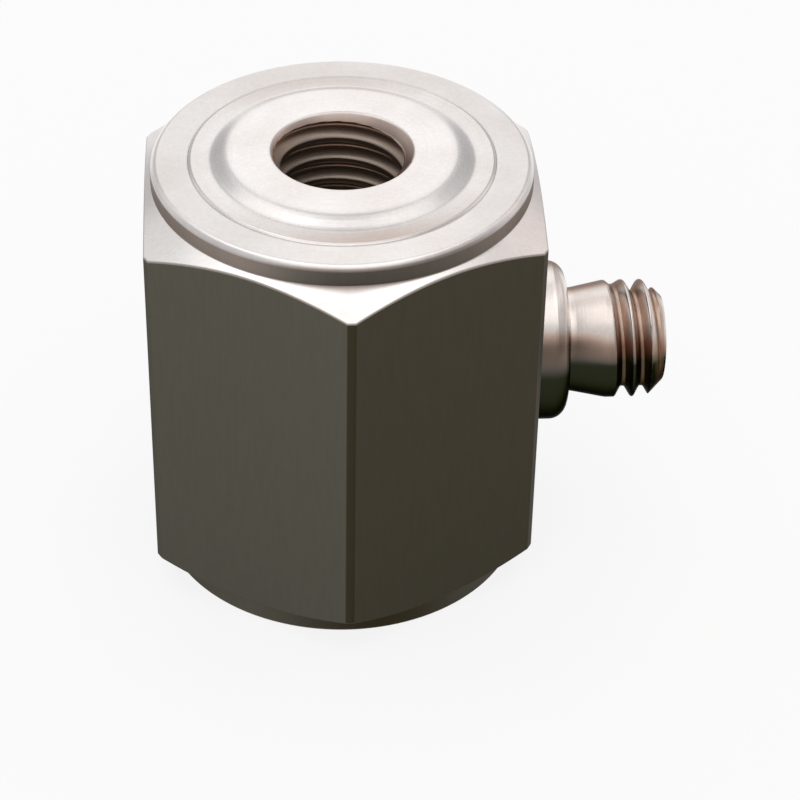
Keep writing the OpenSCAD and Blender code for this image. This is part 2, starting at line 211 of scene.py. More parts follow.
# for the jack, the dark steel is painted shade on its underside and behind, the bright steel its lit top
jackFinish = dict(
    bodyFinish, axis="X", axisHeight=jackHeight,
    bright=(0.97, 0.90, 0.86, 1), brightWarm=(0.88, 0.78, 0.72, 1), metallic=1.0,
    dark=(0.026, 0.027, 0.015, 1), darkShadedSide=(0.022, 0.024, 0.013, 1), darkRoot=(0.15, 0.14, 0.10, 1),
    darkRim=(0.25, 0.25, 0.25, 1), midTint=(1.0, 0.78, 0.68, 1), rootTint=(0.60, 0.47, 0.40, 1), fall=0.0,
    markScale=12000.0, markBump=0.1, grainStretch=(1, 1, 1), grainBump=0.06, roughBright=0.3, roughDark=0.34)

bodySteel = turnedSteel("turnedBodySteel", bodyFinish)
capSteel = turnedSteel("turnedCapSteel", capFinish)
jackSteel = turnedSteel("turnedJackSteel", jackFinish)


def innerFinish(name, finish):  # pieces inside: a base colour with patches, fine grain and a little relief
    s = dict(innerDefaults, **finish)
    material, tree, shader = newMaterial(name)
    point = addNode(tree, "ShaderNodeTexCoord").outputs["Object"]
    patches = patchNoise(tree, point, s["patchScale"], s["stretch"])
    grain = grainNoise(tree, point, s["grainScale"], s["stretch"])
    colour = mixColour(tree, remap(tree, patches, *s["patchRange"]), s["colour"], s["second"])
    colour = shaded(tree, colour, slide(tree, grain, s["grainRange"], *s["grainTones"]))
    rough = slide(tree, grain, s["roughRange"], s["rough"] - s["roughVary"], s["rough"] + s["roughVary"])
    bump = addNode(tree, "ShaderNodeBump", {"Height": grain, "Strength": s["bump"],
                                            "Distance": s["bumpDepth"] * mm})
    put(tree, shader.inputs["Base Color"], colour)
    put(tree, shader.inputs["Roughness"], rough)
    put(tree, shader.inputs["Normal"], bump.outputs[0])
    shader.inputs["Metallic"].default_value = s["metallic"]
    shader.inputs["Transmission Weight"].default_value = s["glass"]
    shader.inputs["IOR"].default_value = s["ior"]
    return material


innerDefaults = {
    "metallic": 0.0, "glass": 0.0, "ior": 1.5, "bump": 0.2, "bumpDepth": 0.004, "stretch": (1, 1, 1),
    "patchRange": (0.3, 0.7), "grainRange": (0.25, 0.8), "grainTones": (0.94, 1.05),
    "roughRange": (0.2, 0.8), "roughVary": 0.05}
innerFinishes = {
    "groundSteel": {"colour": (0.62, 0.60, 0.58, 1), "second": (0.52, 0.50, 0.48, 1), "metallic": 1.0,
                    "rough": 0.3, "patchScale": 500.0, "grainScale": 7000.0},
    "clearQuartz": {"colour": (0.90, 0.94, 0.97, 1), "second": (0.84, 0.90, 0.94, 1), "glass": 0.85,
                    "ior": 1.54, "rough": 0.12, "patchScale": 300.0, "grainScale": 3000.0, "bump": 0.05},
    "sealGlass": {"colour": (0.10, 0.22, 0.32, 1), "second": (0.07, 0.16, 0.26, 1), "glass": 0.35,
                  "ior": 1.52, "rough": 0.15, "patchScale": 900.0, "grainScale": 5000.0, "bump": 0.08},
    "copperAlloy": {"colour": (0.72, 0.42, 0.20, 1), "second": (0.62, 0.34, 0.15, 1), "metallic": 1.0,
                    "rough": 0.28, "patchScale": 600.0, "grainScale": 7000.0},
    "goldPlate": {"colour": (0.86, 0.62, 0.22, 1), "second": (0.78, 0.54, 0.18, 1), "metallic": 1.0,
                  "rough": 0.2, "patchScale": 900.0, "grainScale": 9000.0},
    "tinnedWire": {"colour": (0.70, 0.62, 0.50, 1), "second": (0.60, 0.50, 0.38, 1), "metallic": 1.0,
                   "rough": 0.3, "patchScale": 900.0, "grainScale": 6000.0, "stretch": (1, 1, 0.2)},
    "whitePlastic": {"colour": (0.86, 0.85, 0.81, 1), "second": (0.80, 0.79, 0.75, 1), "rough": 0.45,
                     "patchScale": 700.0, "grainScale": 6000.0},
    "amberFilm": {"colour": (0.58, 0.27, 0.05, 1), "second": (0.48, 0.20, 0.03, 1), "rough": 0.25,
                  "glass": 0.2, "patchScale": 400.0, "grainScale": 4000.0, "stretch": (1, 1, 0.3)},
    "boardLaminate": {"colour": (0.03, 0.20, 0.07, 1), "second": (0.02, 0.14, 0.05, 1), "rough": 0.35,
                      "patchScale": 1500.0, "grainScale": 8000.0},
    "blackResin": {"colour": (0.030, 0.030, 0.032, 1), "second": (0.020, 0.020, 0.022, 1), "rough": 0.5,
                   "patchScale": 1200.0, "grainScale": 9000.0},
    "chipCeramic": {"colour": (0.60, 0.44, 0.28, 1), "second": (0.50, 0.36, 0.22, 1), "rough": 0.4,
                    "patchScale": 1500.0, "grainScale": 8000.0}}
innerNodes = {
    "preload_stud": "copperAlloy", "centring_sleeve": "whitePlastic", "lower_pressure_ring": "groundSteel",
    "lower_quartz_ring": "clearQuartz", "signal_electrode": "goldPlate", "upper_quartz_ring": "clearQuartz",
    "upper_pressure_ring": "groundSteel", "insulating_sleeve": "amberFilm", "electrode_lead": "tinnedWire",
    "ground_lead": "tinnedWire", "output_lead": "tinnedWire", "amplifier_board": "boardLaminate",
    "transistor": "blackResin", "gate_resistor": "blackResin", "bias_resistor": "blackResin",
    "range_capacitor": "chipCeramic", "glass_seal": "sealGlass", "jack_insulator": "whitePlastic",
    "jack_contact": "goldPlate"}
innerMaterials = {name: innerFinish(name, finish) for name, finish in innerFinishes.items()}
for nodeName, finishName in innerNodes.items():
    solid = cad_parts[nodeName].data
    solid.materials.clear()
    solid.materials.append(innerMaterials[finishName])
print("materials made: 3 steels and", len(innerMaterials), "for the pieces inside")


# outlines: a corner is rounded and has a guard row on each side, so that flat faces shade flat
outlining = {"guard": 0.02, "roomShare": 0.42, "guardShare": 0.25, "bendSteps": 4, "rowStep": 0.036}


def bendShares():  # how far along a rounded corner each of its rows lies
    return [k / outlining["bendSteps"] for k in range(outlining["bendSteps"] + 1)]


def shareOf(value, start, length):  # from 0 at the start to 1 at the end of the length, and no further
    return min(1.0, max(0.0, (value - start) / length))


def hidden(places, tone):  # sharp corners out of sight, all of one tone
    return [(radius, height, 0, tone, False) for radius, height in places]


def outlineRows(points, closed=False, rowStep=outlining["rowStep"]):
    # a point is (radius, height, rounding, tone, threaded), with the last two for the run that follows it
    # a row is (radius, height, tone, threaded)
    rows = []
    count = len(points)

    def runAfter(i):
        a, b = points[i], points[(i + 1) % count]
        return Vector((b[0] - a[0], b[1] - a[1]))

    for i, (radius, height, soft, tone, threaded) in enumerate(points):
        if not closed and i in (0, count - 1):
            rows.append((radius, height, tone, 0.0))
            continue
        lastTone, lastThreaded = points[i - 1][3:]
        nextSoft, nextTone = points[(i + 1) % count][2:4]
        corner, before, after = Vector((radius, height)), runAfter(i - 1), runAfter(i)
        back, ahead = -before.normalized(), after.normalized()
        room = outlining["roomShare"] * min(before.length, after.length)
        bend, near = min(soft, room), min(outlining["guard"], outlining["guardShare"] * room)
        places = [(corner, 0.5)]
        if soft > 0:
            start, end = corner + back * bend, corner + ahead * bend
            places = [(start * (1 - t) ** 2 + corner * 2 * t * (1 - t) + end * t * t, t)
                      for t in bendShares()]
        places.insert(0, (corner + back * (bend + near), 0.0))
        places.append((corner + ahead * (bend + near), 1.0))
        for place, share in places:
            rows.append((place.x, place.y, lastTone * (1 - share) + tone * share,
                         float(threaded if share > 0.5 else lastThreaded)))
        if threaded:  # dense rows over the run that carries a thread
            begin = bend + near
            finish = after.length - min(nextSoft, outlining["roomShare"] * after.length) - near
            parts = max(1, round((finish - begin) / rowStep))
            for k in range(1, parts):
                place = corner + ahead * (begin + (finish - begin) * k / parts)
                rows.append((place.x, place.y, tone + (nextTone - tone) * k / parts, 1.0))
    if closed:
        rows.append(rows[0])
    return rows


def rowMesh(name, rows, columns=(), **extra):
    # loose points that carry the rows as attributes, with one more point for each column angle
    data = bpy.data.meshes.new(name)
    data.from_pydata([(row[0] * mm, 0, row[1] * mm) for row in rows] + [(0, 0, 0)] * len(columns), [], [])
    layers = dict(extra, rowTone=[row[2] for row in rows], rowThread=[row[3] for row in rows])
    for label, values in layers.items():
        padded = values + [0.0] * len(columns)
        data.attributes.new(label, "FLOAT", "POINT").data.foreach_set("value", padded)
    if columns:
        padded = [0.0] * len(rows) + list(columns)
        data.attributes.new("columnAngle", "FLOAT", "POINT").data.foreach_set("value", padded)
    return data


# Geometry Nodes: each tree bends a flat sheet of rows and columns into the piece
threadSockets = [(label, "Float") for label in (
    "Crest Radius", "Thread Depth", "Pitch", "Phase", "Groove Half Width", "Groove Side", "First Turn",
    "Last Turn", "Run Out")]
lengthNames = (
    "Crest Radius", "Thread Depth", "Pitch", "Flat Radius", "Corner Radius", "Corner Softness",
    "Foot Height", "Shoulder Height", "Port Radius", "Port Start", "Port Height", "Port Length")
meshing = {"merge": 0.002, "dissolve": 0.0005, "sharpAngle": 0.62}  # distances in mm, angle in radians
threadForm = {"flankSlope": 1.732, "smoothing": 0.25}  # 60 degrees between flanks, rounded roots and crests

# how the photo's light falls off round a piece, as ranges of the cosine or sine of the angle round its axis:
# a turned ring is dimmer in front, less so behind, and the jack darkens from its top downwards
# all of it is painted shade and painted highlight, set into the pieces' tone
shading = {"frontTurn": 80.0, "wallRange": (0.7, 0.97), "lobePower": 4.0, "lobeBehind": 0.55,
           "lobeEdge": 0.1, "behindRange": (-0.05, 0.38), "behindShare": 0.6, "topRange": (-0.80, -0.50),
           "topShare": 0.82, "sideRange": (-0.42, -0.1), "sideShare": 0.18, "slowRange": (-0.80, -0.15)}


def startTree(name, sockets):
    tree = bpy.data.node_groups.new(name, "GeometryNodeTree")
    tree.interface.new_socket(name="Geometry", in_out="INPUT", socket_type="NodeSocketGeometry")
    for label, kind in sockets:
        tree.interface.new_socket(name=label, in_out="INPUT", socket_type="NodeSocket" + kind)
    tree.interface.new_socket(name="Geometry", in_out="OUTPUT", socket_type="NodeSocketGeometry")
    return tree, addNode(tree, "NodeGroupInput").outputs


def sampleRow(tree, rows, index, label=None):  # a row's attribute, or its place where there is no label
    if label is None:
        field, kind = addNode(tree, "GeometryNodeInputPosition").outputs[0], "FLOAT_VECTOR"
    else:
        named = addNode(tree, "GeometryNodeInputNamedAttribute", {"Name": label}, data_type="FLOAT")
        field, kind = named.outputs["Attribute"], "FLOAT"
    return addNode(tree, "GeometryNodeSampleIndex", {"Geometry": rows, "Value": field, "Index": index},
                   data_type=kind, domain="POINT").outputs[0]


def sheetOf(tree, rowCount, columnCount):  # the sheet, and the row and the column of each of its points
    sheet = addNode(tree, "GeometryNodeMeshGrid", {"Vertices X": rowCount, "Vertices Y": columnCount})
    index = addNode(tree, "GeometryNodeInputIndex").outputs[0]
    row = calc(tree, "FLOOR", calc(tree, "DIVIDE", plus(tree, index, 0.5), columnCount))
    return sheet.outputs["Mesh"], row, minus(tree, index, times(tree, row, columnCount))


def aroundAxis(tree, radius, angle, height):
    return addNode(tree, "ShaderNodeCombineXYZ", {0: times(tree, radius, calc(tree, "COSINE", angle)),
                                                  1: times(tree, radius, calc(tree, "SINE", angle)),
                                                  2: height}).outputs[0]


def facingFront(tree, angle):  # 1 on the side that the photo shows, -1 behind
    return calc(tree, "COSINE", plus(tree, angle, math.radians(shading["frontTurn"])))


def threadNodes(tree, g, radius, height, angle, threaded):
    # how far each point is cut back by the thread's groove, which runs in and out along its helix
    turn = calc(tree, "DIVIDE", angle, 2 * math.pi)
    phase = plus(tree, minus(tree, calc(tree, "DIVIDE", height, g["Pitch"]), turn), g["Phase"])
    nearest = calc(tree, "ROUND", phase)
    off = calc(tree, "ABSOLUTE", minus(tree, phase, nearest))
    run = plus(tree, nearest, turn)
    flank = times(tree, minus(tree, g["Groove Half Width"], off), g["Pitch"])
    flank = times(tree, flank, threadForm["flankSlope"])
    smooth = times(tree, g["Thread Depth"], threadForm["smoothing"])
    depth = calc(tree, "SMOOTH_MIN", flank, g["Thread Depth"], smooth)
    depth = calc(tree, "MAXIMUM", calc(tree, "SMOOTH_MAX", depth, 0.0, smooth), 0.0)
    begin = remap(tree, run, g["First Turn"], plus(tree, g["First Turn"], g["Run Out"]))
    end = remap(tree, run, minus(tree, g["Last Turn"], g["Run Out"]), g["Last Turn"], 1.0, 0.0)
    depth = times(tree, depth, times(tree, begin, end))
    side = g["Groove Side"]  # 1 where the groove goes outwards from a hole, -1 where it goes into a shank
    wall = calc(tree, "MULTIPLY_ADD", side, depth, g["Crest Radius"])
    cut = times(tree, side, calc(tree, "MAXIMUM", times(tree, side, radius), times(tree, side, wall)))
    result = plus(tree, radius, times(tree, threaded, minus(tree, cut, radius)))
    return result, times(tree, threaded, calc(tree, "DIVIDE", depth, g["Thread Depth"]))


def bendSheet(tree, sheet, position, tone, groove):
    made = sheet
    for label, value in (("tone", tone), ("groove", groove)):
        made = addNode(tree, "GeometryNodeStoreNamedAttribute", {"Geometry": made, "Name": label,
                                                                 "Value": value},
                       data_type="FLOAT", domain="POINT").outputs[0]
    made = addNode(tree, "GeometryNodeSetPosition", {"Geometry": made, "Position": position}).outputs[0]
    return addNode(tree, "GeometryNodeMergeByDistance", {"Geometry": made,
                                                         "Distance": meshing["merge"] * mm}).outputs[0]


def endTree(tree, made, material):
    made = addNode(tree, "GeometryNodeSetShadeSmooth", {"Geometry": made, "Shade Smooth": True}).outputs[0]
    edgeAngle = addNode(tree, "GeometryNodeInputMeshEdgeAngle").outputs[0]
    steep = calc(tree, "GREATER_THAN", edgeAngle, meshing["sharpAngle"])
    made = addNode(tree, "GeometryNodeSetShadeSmooth", {"Geometry": made, "Selection": steep,
                                                        "Shade Smooth": False}, domain="EDGE").outputs[0]
    made = addNode(tree, "GeometryNodeRealizeInstances", {"Geometry": made}).outputs[0]
    made = addNode(tree, "GeometryNodeSetMaterial", {"Geometry": made, "Material": material}).outputs[0]
    addNode(tree, "NodeGroupOutput", {0: made})
    return tree


def lathedPieceTree():
    tree, g = startTree("lathedPiece", [
        ("Rows", "Int"), ("Columns", "Int"), ("Axis Turn", "Rotation"), ("Axis Place", "Vector"),
        ("Under Shade", "Float"), ("Material", "Material")] + threadSockets)
    rows = g["Geometry"]
    sheet, row, column = sheetOf(tree, g["Rows"], g["Columns"])
    place = splitOf(tree, sampleRow(tree, rows, row))
    angle = times(tree, calc(tree, "DIVIDE", column, minus(tree, g["Columns"], 1.0)), 2 * math.pi)
    radius, groove = threadNodes(tree, g, place[0], place[2], angle, sampleRow(tree, rows, row, "rowThread"))
    position = aroundAxis(tree, radius, angle, place[2])

    # painted shade: how much of its tone a sideways piece keeps: all on top, less at its sides and behind,
    # none below
    down = calc(tree, "COSINE", angle)  # 1 where it faces the floor, -1 where it faces up
    lit = calc(tree, "MULTIPLY_ADD", remap(tree, down, *shading["topRange"], 1.0, 0.0), shading["topShare"],
               remap(tree, down, *shading["sideRange"], shading["sideShare"], 0.0))
    slow = slide(tree, down, shading["slowRange"], 1.0, 0.0)  # the painted shade darkens flare and thread more slowly
    lit = plus(tree, lit, times(tree, sampleRow(tree, rows, row, "rowFade"), minus(tree, slow, lit)))
    behind = remap(tree, calc(tree, "SINE", angle), *shading["behindRange"])
    lit = times(tree, lit, minus(tree, 1.0, times(tree, behind, shading["behindShare"])))
    shade = times(tree, minus(tree, 1.0, lit), g["Under Shade"])
    tone = times(tree, sampleRow(tree, rows, row, "rowTone"), minus(tree, 1.0, shade))

    # painted shade on the rows that carry it: dimmer in front and, less so, behind, as a turned face's
    # reflections fall
    facing = facingFront(tree, angle)
    lobes = calc(tree, "POWER", calc(tree, "ABSOLUTE", facing), shading["lobePower"])
    lobes = times(tree, lobes, remap(tree, facing, -shading["lobeEdge"], shading["lobeEdge"],
                                     shading["lobeBehind"], 1.0))
    tone = times(tree, tone, minus(tree, 1.0, times(tree, sampleRow(tree, rows, row, "rowDim"), lobes)))
    made = bendSheet(tree, sheet, position, tone, groove)
    made = addNode(tree, "GeometryNodeTransform", {"Geometry": made, "Translation": g["Axis Place"],
                                                   "Rotation": g["Axis Turn"]}).outputs[0]
    return endTree(tree, made, g["Material"])


def hexagonBarTree():
    # rows between the two turned bevels follow the hexagon, by moving to where bevel and flat meet
    tree, g = startTree("hexagonBar", [
        ("Rows", "Int"), ("Columns", "Int"), ("Sector Columns", "Int"), ("Flat Radius", "Float"),
        ("Corner Radius", "Float"), ("Corner Softness", "Float"), ("Foot Height", "Float"),
        ("Shoulder Height", "Float"), ("Bevel Slope", "Float"), ("Port Radius", "Float"),
        ("Port Start", "Float"), ("Port Height", "Float"), ("Port Length", "Float"), ("Port Sides", "Int"),
        ("Material", "Material")] + threadSockets)
    rows = g["Geometry"]
    sheet, row, column = sheetOf(tree, g["Rows"], g["Columns"])
    sector = calc(tree, "FLOOR", calc(tree, "DIVIDE", plus(tree, column, 0.5), g["Sector Columns"]))
    entry = minus(tree, column, times(tree, sector, g["Sector Columns"]))
    local = sampleRow(tree, rows, plus(tree, g["Rows"], entry), "columnAngle")
    angle = plus(tree, local, times(tree, sector, 2 * math.pi / 6))
    bar = calc(tree, "DIVIDE", g["Flat Radius"], calc(tree, "COSINE", local))
    bar = calc(tree, "SMOOTH_MIN", bar, g["Corner Radius"], g["Corner Softness"])
    rise = times(tree, minus(tree, bar, g["Flat Radius"]), g["Bevel Slope"])
    low, high = plus(tree, g["Foot Height"], rise), minus(tree, g["Shoulder Height"], rise)
    place = splitOf(tree, sampleRow(tree, rows, row))
    toLow, toHigh = sampleRow(tree, rows, row, "toLow"), sampleRow(tree, rows, row, "toHigh")
    radius = calc(tree, "MULTIPLY_ADD", plus(tree, toLow, toHigh), bar, place[0])
    height = calc(tree, "MULTIPLY_ADD", toLow, low, calc(tree, "MULTIPLY_ADD", toHigh, high, place[2]))
    radius, groove = threadNodes(tree, g, radius, height, angle, sampleRow(tree, rows, row, "rowThread"))
    position = aroundAxis(tree, radius, angle, height)
    # painted shade in front on the collar's wall, and a painted highlight in front on its ring on top
    front = remap(tree, facingFront(tree, angle), *shading["wallRange"])
    front = times(tree, sampleRow(tree, rows, row, "rowDim"), front)
    tone = times(tree, sampleRow(tree, rows, row, "rowTone"), minus(tree, 1.0, front))
    made = bendSheet(tree, sheet, position, tone, groove)

    # the port for the jack's spigot reaches from the cavity out through the flat
    port = addNode(tree, "GeometryNodeMeshCylinder", {
        "Vertices": g["Port Sides"], "Radius": g["Port Radius"], "Depth": g["Port Length"]})
    middle = addNode(tree, "ShaderNodeCombineXYZ", {
        0: calc(tree, "MULTIPLY_ADD", g["Port Length"], 0.5, g["Port Start"]), 1: 0.0, 2: g["Port Height"]})
    port = addNode(tree, "GeometryNodeTransform", {
        "Geometry": port.outputs["Mesh"], "Translation": middle.outputs[0], "Rotation": (0, math.pi / 2, 0)})
    cut = addNode(tree, "GeometryNodeMeshBoolean", {"Mesh 1": made, "Mesh 2": port.outputs[0]},
                  operation="DIFFERENCE", solver="EXACT")
    return endTree(tree, cut.outputs[0], g["Material"])


def makePiece(name, data, tree, values):
    piece = bpy.data.objects.new(name, data)
    bpy.context.scene.collection.objects.link(piece)
    modifier = piece.modifiers.new("nodes", "NODES")
    modifier.node_group = tree
    for item in tree.interface.items_tree:
        if item.item_type == "SOCKET" and item.in_out == "INPUT" and item.name in values:
            value = values[item.name]
            modifier[item.identifier] = value * mm if item.name in lengthNames else value
    depsgraph = bpy.context.evaluated_depsgraph_get()
    mesh = bpy.data.meshes.new_from_object(piece.evaluated_get(depsgraph), preserve_all_data_layers=True,
                                           depsgraph=depsgraph)
    piece.modifiers.clear()
    piece.data = mesh
    work = bmesh.new()
    work.from_mesh(mesh)
    bmesh.ops.dissolve_degenerate(work, edges=work.edges, dist=meshing["dissolve"] * mm)
    bmesh.ops.recalc_face_normals(work, faces=work.faces)
    openEdges = sum(1 for e in work.edges if not e.is_manifold)
    print(name, "volume mm3", round(work.calc_volume(signed=True) / mm ** 3, 2), "open edges", openEdges,
          "faces", len(work.faces))
    work.to_mesh(mesh)
    work.free()
    return piece


lathedPiece = lathedPieceTree()
hexagonBar = hexagonBarTree()

# the body: a hexagon bar with a foot and a collar, all turned, with the sizes of the solid
body = {
    "flatRadius": 8.0, "cornerRadius": 9.138, "cornerSoftness": 0.02, "bevelDegrees": 30.0,
    "bevelTone": 0.96, "edgeRound": 0.07, "past": 0.06, "footRadius": 7.85, "footHeight": 1.0, "edge": 0.15,
    "shoulderHeight": 17.7, "collarRadius": 7.75, "rimHeight": 18.7, "rimEdge": 0.2, "seamWidth": 0.1,
    "seamDepth": 0.03, "holeRadius": 2.49, "holeDepth": 4.6, "mouthRadius": 2.9,
    "seatRadius": 6.24, "seatHeight": 18.1, "cavityRadius": 5.9, "boardLedge": 13.02, "stackBore": 5.45,
    "stackFloor": 6.4, "pedestalRadius": 4.5, "pedestalTop": 7.8, "studBore": 1.52, "studFloor": 5.2,
    "portRadius": 2.27, "portStart": 4.75, "portLength": 6.0, "portSides": 96,
    "wallFrom": 17.0, "wallFrontShade": 0.7, "ringFrom": 6.36, "ringUpTo": 7.65, "ringSlack": 0.01,
    "ringFrontHighlight": -0.12, "bevelShares": (0.25, 0.5, 0.75), "flatRows": 14, "sectorColumns": 15,
    "landAngle": 28.9, "landLead": 0.22, "cornerSteps": (-0.1, -0.03, 0.04, 0.12, 0.3, 0.65),
    "thread": {"Thread Depth": 0.5, "Pitch": 1.0, "Phase": 0.2, "Groove Half Width": 0.375,
               "Groove Side": 1.0, "First Turn": -3.0, "Last Turn": 4.2, "Run Out": 0.5}}


def bodyRows(s):
    # here a row also has its shares of the two edges where the lower and the upper bevel meet a flat
    bevel = math.radians(s["bevelDegrees"])
    slope, inward, along = math.tan(bevel), math.cos(bevel), math.sin(bevel)
    lowStart = s["footHeight"] + (s["footRadius"] - s["flatRadius"]) * slope
    highEnd = s["shoulderHeight"] - (s["collarRadius"] - s["flatRadius"]) * slope
    soft, reach = s["edgeRound"], s["edgeRound"] + outlining["guard"]

    def edgeRows():  # over the rounded edge between a bevel and a flat, as offsets from where they meet
        bent = [(-inward * soft * (1 - t) ** 2, -along * soft * (1 - t) ** 2 + soft * t * t, t)
                for t in bendShares()]
        return [(-inward * reach, -along * reach, 0.0)] + bent + [(0.0, reach, 1.0)]

    below = outlineRows([
        # the tapped hole in the foot gets lower tones deeper in: painted shade in the recess
        (0.0, s["holeDepth"], 0, 0.3, False),
        (s["holeRadius"], s["holeDepth"], 0.05, 0.3, True),
        (s["holeRadius"], s["mouthRadius"] - s["holeRadius"], 0.03, 0.8, True),
        (s["mouthRadius"], 0.0, 0.04, 0.9, False),
        (s["footRadius"] - s["edge"], 0.0, 0.04, 0.35, False),
        (s["footRadius"], s["edge"], 0.04, 0.0, False),
        (s["footRadius"], lowStart, 0.03, 0.0, False),
        (s["footRadius"] + s["past"], lowStart + s["past"] * slope, 0, 0.0, False)])[:-1]
    rows = [row + (0.0, 0.0) for row in below]
    for share in s["bevelShares"]:
        rows.append((s["footRadius"] * (1 - share) - inward * reach * share,
                     lowStart * (1 - share) - along * reach * share, 0.0, 0.0, share, 0.0))
    rows += [(dr, dz, 0.0, 0.0, 1.0, 0.0) for dr, dz, _ in edgeRows()]
    for k in range(1, s["flatRows"]):
        share = k / s["flatRows"]
        rows.append((0.0, 0.0, 0.0, 0.0, 1 - share, share))
    rows += [(dr, -dz, (1.0 - t) * s["bevelTone"], 0.0, 0.0, 1.0) for dr, dz, t in reversed(edgeRows())]
    for share in reversed(s["bevelShares"]):
        rows.append((s["collarRadius"] * (1 - share) - inward * reach * share,
                     highEnd * (1 - share) + along * reach * share, s["bevelTone"], 0.0, 0.0, share))
    above = outlineRows([
        (s["collarRadius"] + s["past"], highEnd - s["past"] * slope, 0, s["bevelTone"], False),
        # the collar's wall gets a low tone: painted shade on an upright turned face
        (s["collarRadius"], highEnd, 0.02, 0.2, False),
        (s["collarRadius"], s["rimHeight"] - s["rimEdge"], 0.05, 1.0, False),
        (s["collarRadius"] - s["rimEdge"], s["rimHeight"], 0.1, 0.82, False),
        (s["seatRadius"] + s["seamWidth"], s["rimHeight"], 0.05, 0.86, False),
        (s["seatRadius"], s["rimHeight"] - s["seamDepth"], 0, 0.5, False)] + hidden([
            (s["seatRadius"], s["seatHeight"]), (s["cavityRadius"], s["seatHeight"]),
            (s["cavityRadius"], s["boardLedge"]), (s["stackBore"], s["boardLedge"]),
            (s["stackBore"], s["stackFloor"]), (s["pedestalRadius"], s["stackFloor"]),
            (s["pedestalRadius"], s["pedestalTop"]), (s["studBore"], s["pedestalTop"]),
            (s["studBore"], s["studFloor"]), (0.0, s["studFloor"])], 0.4))[1:]
    return rows + [row + (0.0, 0.0) for row in above]


def bodyPaintedShading(row, s):  # how much painted shade a row gets in front: painted shade on the collar's wall, and a painted highlight that makes its ring on top lighter
    radius, height, toHigh = row[0], row[1], row[5]
    if toHigh > 0:
        return 0.0
    if height > s["wallFrom"] and radius > s["ringUpTo"]:
        return s["wallFrontShade"]
    onRing = height > s["rimHeight"] - s["ringSlack"] and s["ringFrom"] < radius <= s["ringUpTo"]
    return s["ringFrontHighlight"] if onRing else 0.0


def sectorAngles(s):  # one sixth of the way round, from corner to corner, denser towards the corners
    count, lead = s["sectorColumns"], s["landAngle"] - s["landLead"]
    half = [math.sin(k / count * math.pi / 2) * lead for k in range(count + 1)]
    half += [s["landAngle"] + step for step in s["cornerSteps"]]
    corner = 360 / 6 / 2  # degrees from the middle of a flat
    return [math.radians(a) for a in [-a for a in reversed(half[1:])] + half + [corner]]


rows = bodyRows(body)
angles = sectorAngles(body)
bodyMesh = rowMesh("bodyRows", rows, angles, toLow=[row[4] for row in rows], toHigh=[row[5] for row in rows],
                   rowDim=[bodyPaintedShading(row, body) for row in rows])
housing = makePiece("hex_body", bodyMesh, hexagonBar, {
    "Rows": len(rows), "Columns": 6 * len(angles) + 1, "Sector Columns": len(angles),
    "Flat Radius": body["flatRadius"], "Corner Radius": body["cornerRadius"],
    "Corner Softness": body["cornerSoftness"], "Foot Height": body["footHeight"],
    "Shoulder Height": body["shoulderHeight"], "Bevel Slope": math.tan(math.radians(body["bevelDegrees"])),
    "Port Radius": body["portRadius"], "Port Start": body["portStart"], "Port Height": jackHeight,
    "Port Length": body["portLength"], "Port Sides": body["portSides"], "Material": bodySteel,
    "Crest Radius": body["holeRadius"], **body["thread"]})
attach(housing, "root")
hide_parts("hex_housing")

# the load cap: rim, diaphragm, boss, the stem below and the tapped hole that the load screws into
cap = {
    "rimRadius": 6.235, "rimHeight": body["rimHeight"], "seamWidth": 0.12, "seamDepth": 0.03,
    "faceHeight": 18.76, "ringWidth": 0.4, "ringDip": 0.025, "bossBase": 5.35, "bossTop": 4.625,
    "topHeight": 19.06, "holeRadius": 2.48, "mouthRadius": body["mouthRadius"], "holeFloor": 14.5,
    "seatHeight": body["seatHeight"], "reliefRadius": 5.67, "reliefTop": 18.4, "stemRadius": 4.05,
    "stemEnd": 11.3, "studBore": body["studBore"], "studTop": 13.9, "columns": 193,
    # dim and its bounds set the painted shade in front of the boss
    "dim": 0.34, "dimFrom": 18.6, "dimStart": 5.3, "dimRise": 0.25, "dimEnd": 6.2, "dimFall": 0.05,
    "thread": {"Thread Depth": 0.52, "Pitch": 1.0, "Phase": 0.78, "Groove Half Width": 0.375,
               "Groove Side": 1.0, "First Turn": 15.4, "Last Turn": 30.0, "Run Out": 0.5}}


def capPaintedShade(row, s):  # painted shade: the diaphragm round the boss is darker in front
    if row[1] <= s["dimFrom"]:
        return 0.0
    fallen = shareOf(-row[0], -s["dimEnd"], s["dimFall"])
    return s["dim"] * shareOf(row[0], s["dimStart"], s["dimRise"]) * fallen


rows = outlineRows(hidden([
    (0.0, cap["studTop"]), (cap["studBore"], cap["studTop"]), (cap["studBore"], cap["stemEnd"]),
    (cap["stemRadius"], cap["stemEnd"]), (cap["stemRadius"], cap["reliefTop"]),
    (cap["reliefRadius"], cap["reliefTop"]), (cap["reliefRadius"], cap["seatHeight"]),
    (cap["rimRadius"], cap["seatHeight"])], 0.3) + [
    # the diaphragm's ring takes lower tones than the boss, painted shade, and the hole's mouth and walls
    # lower still, falling with depth: painted shade in the recess
    (cap["rimRadius"], cap["rimHeight"] - cap["seamDepth"], 0.01, 0.9, False),
    (cap["rimRadius"] - cap["seamWidth"], cap["faceHeight"], 0.05, 0.86, False),
    (cap["bossBase"] + cap["ringWidth"], cap["faceHeight"] - cap["ringDip"], 0.15, 0.9, False),
    (cap["bossBase"], cap["faceHeight"], 0.33, 0.96, False),
    (cap["bossTop"], cap["topHeight"], 0.3, 1.0, False),
    (cap["mouthRadius"], cap["topHeight"], 0.08, 0.5, True),
    (cap["holeRadius"], cap["topHeight"] - (cap["mouthRadius"] - cap["holeRadius"]), 0.08, 0.08, True),
    (cap["holeRadius"], cap["holeFloor"], 0.05, 0.0, False),
    (0.0, cap["holeFloor"], 0, 0.1, False)])
